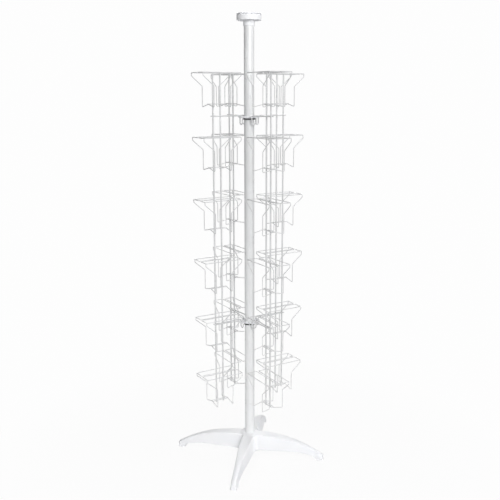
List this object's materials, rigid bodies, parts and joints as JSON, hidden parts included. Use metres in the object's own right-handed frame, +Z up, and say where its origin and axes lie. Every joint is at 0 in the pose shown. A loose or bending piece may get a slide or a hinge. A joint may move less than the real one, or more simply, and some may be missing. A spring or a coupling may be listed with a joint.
{
  "type": "rotating display rack",
  "caption": "Floor-standing white wire card rack: a steel pole on a four-legged base carries wire panels with flared two-sided trays that turn together about the pole.",
  "frame": {"origin": "on the floor, at the pole's axis, under the middle of the base", "axes": "+Z up along the pole; at rest the four panels stand along +X, +Y, -X and -Y, and the base's legs lie between them, the first one 47.3 degrees from +X towards +Y"},
  "size_m": [0.4638, 0.4638, 1.742],
  "materials": {
    "pole_paint": "smooth white powder coat, satin gloss",
    "wire_coat": "white powder coat on welded wire, slightly thick at bends and welds",
    "moulded_plastic": "white moulded plastic, fine grain, soft sheen",
    "black_nylon": "black nylon, turned",
    "foot_rubber": "matt light grey rubber",
    "zinc_steel": "zinc-plated steel"
  },
  "bodies": {
    "stand": {"base_star": "moulded_plastic", "foot_pad_1": "foot_rubber", "foot_pad_2": "foot_rubber", "foot_pad_3": "foot_rubber", "foot_pad_4": "foot_rubber", "pole": "pole_paint", "pole_plug": "zinc_steel", "base_bolt": "zinc_steel", "base_washer": "zinc_steel", "cap_disc": "moulded_plastic", "cap_sleeve": "moulded_plastic", "lower_collar": "black_nylon", "lower_collar_screw": "zinc_steel", "upper_collar": "black_nylon", "upper_collar_screw": "zinc_steel"},
    "carousel": {"lower_ring": "moulded_plastic", "lower_bush": "black_nylon", "upper_ring": "moulded_plastic", "upper_bush": "black_nylon"},
    "panel_1": {"panel_1_frame": "wire_coat", "panel_1_tray_1": "wire_coat", "panel_1_tray_2": "wire_coat", "panel_1_tray_3": "wire_coat", "panel_1_tray_4": "wire_coat", "panel_1_tray_5": "wire_coat", "panel_1_tray_6": "wire_coat"},
    "panel_2": {"panel_2_frame": "wire_coat", "panel_2_tray_1": "wire_coat", "panel_2_tray_2": "wire_coat", "panel_2_tray_3": "wire_coat", "panel_2_tray_4": "wire_coat", "panel_2_tray_5": "wire_coat", "panel_2_tray_6": "wire_coat"},
    "panel_3": {"panel_3_frame": "wire_coat", "panel_3_tray_1": "wire_coat", "panel_3_tray_2": "wire_coat", "panel_3_tray_3": "wire_coat", "panel_3_tray_4": "wire_coat", "panel_3_tray_5": "wire_coat", "panel_3_tray_6": "wire_coat"},
    "panel_4": {"panel_4_frame": "wire_coat", "panel_4_tray_1": "wire_coat", "panel_4_tray_2": "wire_coat", "panel_4_tray_3": "wire_coat", "panel_4_tray_4": "wire_coat", "panel_4_tray_5": "wire_coat", "panel_4_tray_6": "wire_coat"}
  },
  "joints": [
    {"name": "carousel_turn", "type": "hinge", "parent": "stand", "child": "carousel", "pos_m": [0, 0, 1.3655], "axis": [0, 0, 1], "continuous": true},
    {"name": "panel_1_lift", "type": "slide", "parent": "carousel", "child": "panel_1", "axis": [0, 0, 1], "range_m": [0, 0.035]},
    {"name": "panel_2_lift", "type": "slide", "parent": "carousel", "child": "panel_2", "axis": [0, 0, 1], "range_m": [0, 0.035]},
    {"name": "panel_3_lift", "type": "slide", "parent": "carousel", "child": "panel_3", "axis": [0, 0, 1], "range_m": [0, 0.035]},
    {"name": "panel_4_lift", "type": "slide", "parent": "carousel", "child": "panel_4", "axis": [0, 0, 1], "range_m": [0, 0.035]}
  ]
}
